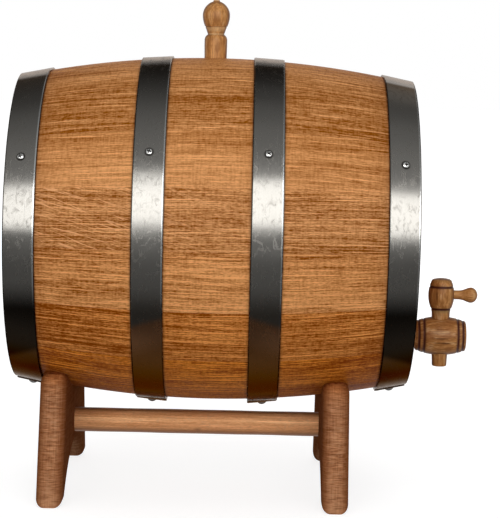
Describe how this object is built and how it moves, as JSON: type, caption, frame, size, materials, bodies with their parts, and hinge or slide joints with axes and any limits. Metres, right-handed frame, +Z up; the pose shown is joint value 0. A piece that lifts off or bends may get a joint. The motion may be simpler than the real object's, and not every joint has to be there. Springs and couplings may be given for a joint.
{
  "type": "oak cask liquor dispenser",
  "caption": "Small oak cask on a wooden cradle stand, with riveted steel hoops, a turned bung on top and a wooden key tap in the front head.",
  "frame": {"origin": "on the floor, under the middle of the whole object", "axes": "+X along the cask towards the tap, +Y across it away from the viewer, +Z up; the object is longest along Z and shortest along Y"},
  "size_m": [0.3874, 0.289, 0.4085],
  "materials": {
    "stave_oak": "raw oak, planed and lightly oiled",
    "head_oak": "raw oak, planed",
    "hoop_steel": "rolled steel strip, satin",
    "fixings": "bright steel",
    "turned_wood": "turned hardwood, clear oiled, burnt rings",
    "stand_wood": "stained hardwood, satin"
  },
  "bodies": {
    "stand": {"cradle_back": "stand_wood", "cradle_front": "stand_wood", "stand_rail": "stand_wood"},
    "cask": {"back_bilge_hoop": "hoop_steel", "back_bilge_hoop_rivets": "fixings", "back_chime_hoop": "hoop_steel", "back_chime_hoop_rivets": "fixings", "back_head_board_1": "head_oak", "back_head_board_2": "head_oak", "back_head_board_3": "head_oak", "back_head_board_4": "head_oak", "back_head_board_5": "head_oak", "back_head_dowels": "head_oak", "bung_stave": "stave_oak", "front_bilge_hoop": "hoop_steel", "front_bilge_hoop_rivets": "fixings", "front_chime_hoop": "hoop_steel", "front_chime_hoop_rivets": "fixings", "front_head_board_1": "head_oak", "front_head_board_2": "head_oak", "front_head_board_3": "head_oak", "front_head_board_4": "head_oak", "front_head_board_5": "head_oak", "front_head_dowels": "head_oak", "hoop_screws": "fixings", "stave_02": "stave_oak", "stave_03": "stave_oak", "stave_04": "stave_oak", "stave_05": "stave_oak", "stave_06": "stave_oak", "stave_07": "stave_oak", "stave_08": "stave_oak", "stave_09": "stave_oak", "stave_10": "stave_oak", "stave_11": "stave_oak", "stave_12": "stave_oak", "stave_13": "stave_oak", "stave_14": "stave_oak", "stave_15": "stave_oak", "stave_16": "stave_oak", "stave_17": "stave_oak", "stave_18": "stave_oak", "tap_body": "turned_wood"},
    "bung": {"bung": "turned_wood"},
    "tap_key": {"tap_key": "turned_wood", "tap_handle": "turned_wood"}
  },
  "joints": [
    {"name": "cask_lift", "type": "slide", "parent": "stand", "child": "cask", "axis": [0, 0, 1], "range_m": [0, 0.08]},
    {"name": "bung_pull", "type": "slide", "parent": "cask", "child": "bung", "axis": [0, 0, 1], "range_m": [0, 0.07]},
    {"name": "tap_turn", "type": "hinge", "parent": "cask", "child": "tap_key", "pos_m": [0.16295, 0, 0.1299], "axis": [0, 0, 1], "continuous": true}
  ]
}
